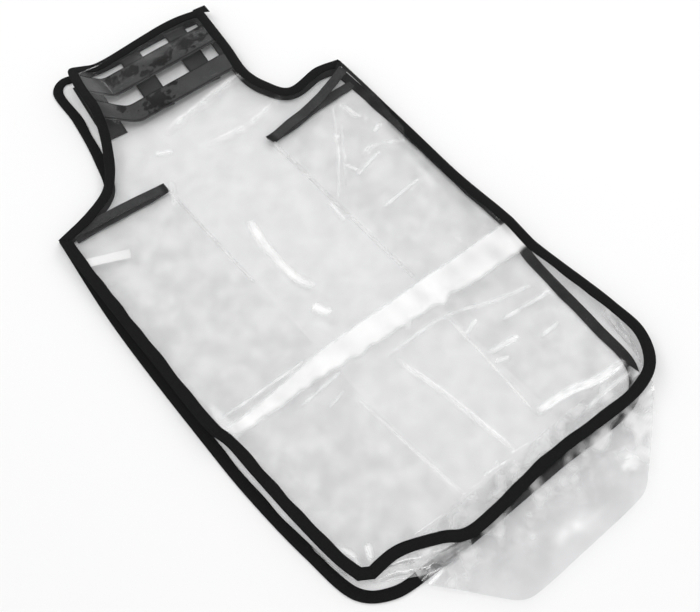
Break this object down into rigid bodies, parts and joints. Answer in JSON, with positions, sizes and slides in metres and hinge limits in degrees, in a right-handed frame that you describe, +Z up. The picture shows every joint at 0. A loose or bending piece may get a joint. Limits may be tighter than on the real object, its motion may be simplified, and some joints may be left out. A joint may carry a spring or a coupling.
{
  "type": "suitcase cover",
  "caption": "Clear film suitcase cover with black taped edges, gusseted sides and hook-and-loop neck flaps, lying folded flat.",
  "frame": {"origin": "on the surface the cover lies on, under the middle of its outer box", "axes": "+X across the cover, +Y towards the two neck flaps at the mouth, +Z up from the surface"},
  "size_m": [0.37, 0.7495, 0.0132],
  "materials": {
    "clear_film": "clear flexible vinyl film",
    "edge_tape": "black grosgrain binding tape",
    "thread": "black sewing thread",
    "hook": "black hook tape",
    "loop": "black loop pile tape",
    "label": "white woven label, blank"
  },
  "bodies": {
    "back": {"back_panel_film": "clear_film", "back_panel_tape": "edge_tape", "back_panel_thread": "thread"},
    "back_flap": {"back_flap_film": "clear_film", "back_flap_tape": "edge_tape", "back_flap_thread": "thread", "hook_strip_1": "hook", "hook_strip_2": "hook", "hook_strip_3": "hook", "hook_strip_4": "hook"},
    "front": {"front_panel_film": "clear_film", "front_panel_tape": "edge_tape", "front_panel_thread": "thread", "size_label": "label"},
    "front_flap": {"front_flap_film": "clear_film", "front_flap_tape": "edge_tape", "front_flap_thread": "thread", "loop_strip_1": "loop", "loop_strip_2": "loop"},
    "gusset_left_lower": {"gusset_left_lower_film": "clear_film", "gusset_left_lower_tape": "edge_tape"},
    "gusset_left_upper": {"gusset_left_upper_film": "clear_film", "gusset_left_upper_tape": "edge_tape"},
    "gusset_right_lower": {"gusset_right_lower_film": "clear_film", "gusset_right_lower_tape": "edge_tape"},
    "gusset_right_upper": {"gusset_right_upper_film": "clear_film", "gusset_right_upper_tape": "edge_tape"},
    "gusset_far_lower_inner": {"gusset_far_lower_inner": "clear_film"},
    "gusset_far_lower_outer": {"gusset_far_lower_outer": "clear_film"},
    "gusset_far_upper_inner": {"gusset_far_upper_inner": "clear_film"},
    "gusset_far_upper_outer": {"gusset_far_upper_outer": "clear_film"}
  },
  "joints": [
    {"name": "left_seam", "type": "hinge", "parent": "back", "child": "gusset_left_lower", "pos_m": [-0.174, 0, 0.0022], "axis": [0, -1, 0], "range_deg": [0, 90]},
    {"name": "left_fold", "type": "hinge", "parent": "gusset_left_lower", "child": "gusset_left_upper", "pos_m": [-0.063, 0, 0.0065], "axis": [0, 1, 0], "range_deg": [0, 180]},
    {"name": "front_seam", "type": "hinge", "parent": "gusset_left_upper", "child": "front", "pos_m": [-0.174, 0, 0.0108], "axis": [0, -1, 0], "range_deg": [0, 90]},
    {"name": "right_seam", "type": "hinge", "parent": "back", "child": "gusset_right_lower", "pos_m": [0.174, 0, 0.0022], "axis": [0, 1, 0], "range_deg": [0, 90]},
    {"name": "right_fold", "type": "hinge", "parent": "gusset_right_lower", "child": "gusset_right_upper", "pos_m": [0.063, 0, 0.0065], "axis": [0, -1, 0], "range_deg": [0, 180]},
    {"name": "far_lower_seam", "type": "hinge", "parent": "back", "child": "gusset_far_lower_inner", "pos_m": [0, -0.29394, 0.0022], "axis": [1, 0, 0], "range_deg": [0, 90]},
    {"name": "far_lower_tuck", "type": "hinge", "parent": "gusset_far_lower_inner", "child": "gusset_far_lower_outer", "pos_m": [0, -0.27894, 0.0032], "axis": [-1, 0, 0], "range_deg": [0, 180]},
    {"name": "far_upper_seam", "type": "hinge", "parent": "front", "child": "gusset_far_upper_inner", "pos_m": [0, -0.29394, 0.0108], "axis": [-1, 0, 0], "range_deg": [0, 90]},
    {"name": "far_upper_tuck", "type": "hinge", "parent": "gusset_far_upper_inner", "child": "gusset_far_upper_outer", "pos_m": [0, -0.27894, 0.0098], "axis": [1, 0, 0], "range_deg": [0, 180]},
    {"name": "front_flap_fold", "type": "hinge", "parent": "front", "child": "front_flap", "pos_m": [0, 0.18906, 0.0133], "axis": [1, 0, 0], "range_deg": [0, 150]},
    {"name": "back_flap_fold", "type": "hinge", "parent": "back", "child": "back_flap", "pos_m": [0, 0.18906, -0.0003], "axis": [1, 0, 0], "range_deg": [-90, 0]}
  ],
  "couplings": [
    {"joint": "left_fold", "follows": "left_seam", "ratio": 2},
    {"joint": "front_seam", "follows": "left_seam", "ratio": 1},
    {"joint": "right_seam", "follows": "left_seam", "ratio": 1},
    {"joint": "right_fold", "follows": "left_seam", "ratio": 2},
    {"joint": "far_lower_seam", "follows": "left_seam", "ratio": 1},
    {"joint": "far_lower_tuck", "follows": "left_seam", "ratio": 2},
    {"joint": "far_upper_seam", "follows": "left_seam", "ratio": 1},
    {"joint": "far_upper_tuck", "follows": "left_seam", "ratio": 2}
  ]
}
